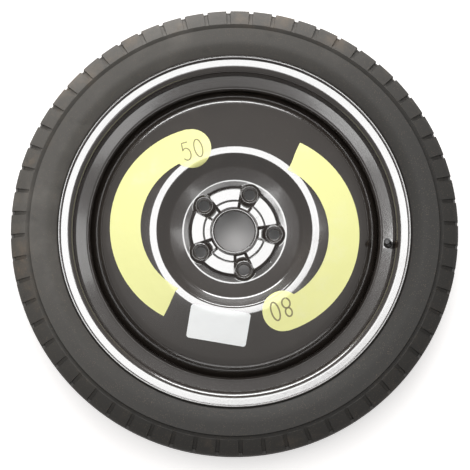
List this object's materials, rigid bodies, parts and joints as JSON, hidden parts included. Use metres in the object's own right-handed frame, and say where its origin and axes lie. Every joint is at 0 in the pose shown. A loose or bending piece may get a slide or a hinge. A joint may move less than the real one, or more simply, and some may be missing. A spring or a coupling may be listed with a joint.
{
  "type": "spare wheel",
  "caption": "Narrow temporary-use spare wheel: black pressed steel disc in a rolled rim with a slim tyre, snap-in valve and yellow crescent labels.",
  "frame": {"origin": "centre of the hub bore in the plane of the mounting face", "axes": "+Z along the wheel axis towards the outer face of the wheel, +X from the wheel axis towards the valve"},
  "size_m": [0.6322, 0.6322, 0.125],
  "materials": {
    "tyre_rubber": "matt black rubber with dried mud and road dust",
    "black_paint": "gloss black stove enamel, dusty and lightly scratched",
    "painted_weld": "rough weld run under black enamel",
    "valve_rubber": "semi-matt moulded rubber",
    "brass": "turned brass",
    "spring_steel": "drawn spring wire",
    "cap_plastic": "moulded black plastic",
    "yellow_vinyl": "pale yellow adhesive vinyl",
    "white_paper": "white coated paper"
  },
  "bodies": {
    "wheel": {"tyre": "tyre_rubber", "rim": "black_paint", "wheel_disc": "black_paint", "weld_beads": "painted_weld", "valve_body": "valve_rubber", "valve_stem": "brass", "valve_core": "brass", "valve_spring": "spring_steel", "yellow_sticker_left": "yellow_vinyl", "yellow_sticker_right": "yellow_vinyl", "paper_label": "white_paper"},
    "valve_plunger": {"valve_pin": "brass", "valve_seal": "valve_rubber"},
    "cap_slider": {"cap_gasket": "valve_rubber"},
    "cap": {"valve_cap": "cap_plastic"}
  },
  "joints": [
    {"name": "pin_press", "type": "slide", "parent": "wheel", "child": "valve_plunger", "axis": [0.1392, 0, -0.9903], "range_m": [0, 0.0012], "stiffness_N_per_m": 500, "springref_m": -0.002, "deforming": ["valve_spring"]},
    {"name": "cap_lift", "type": "slide", "parent": "wheel", "child": "cap_slider", "axis": [-0.1392, 0, 0.9903], "range_m": [0, 0.00556]},
    {"name": "cap_turn", "type": "hinge", "parent": "cap_slider", "child": "cap", "pos_m": [0.2178, 0, -0.00626], "axis": [-0.1392, 0, 0.9903], "range_deg": [0, 2520]}
  ],
  "couplings": [
    {"joint": "cap_turn", "follows": "cap_lift", "rad_per_m": 7913.3}
  ]
}
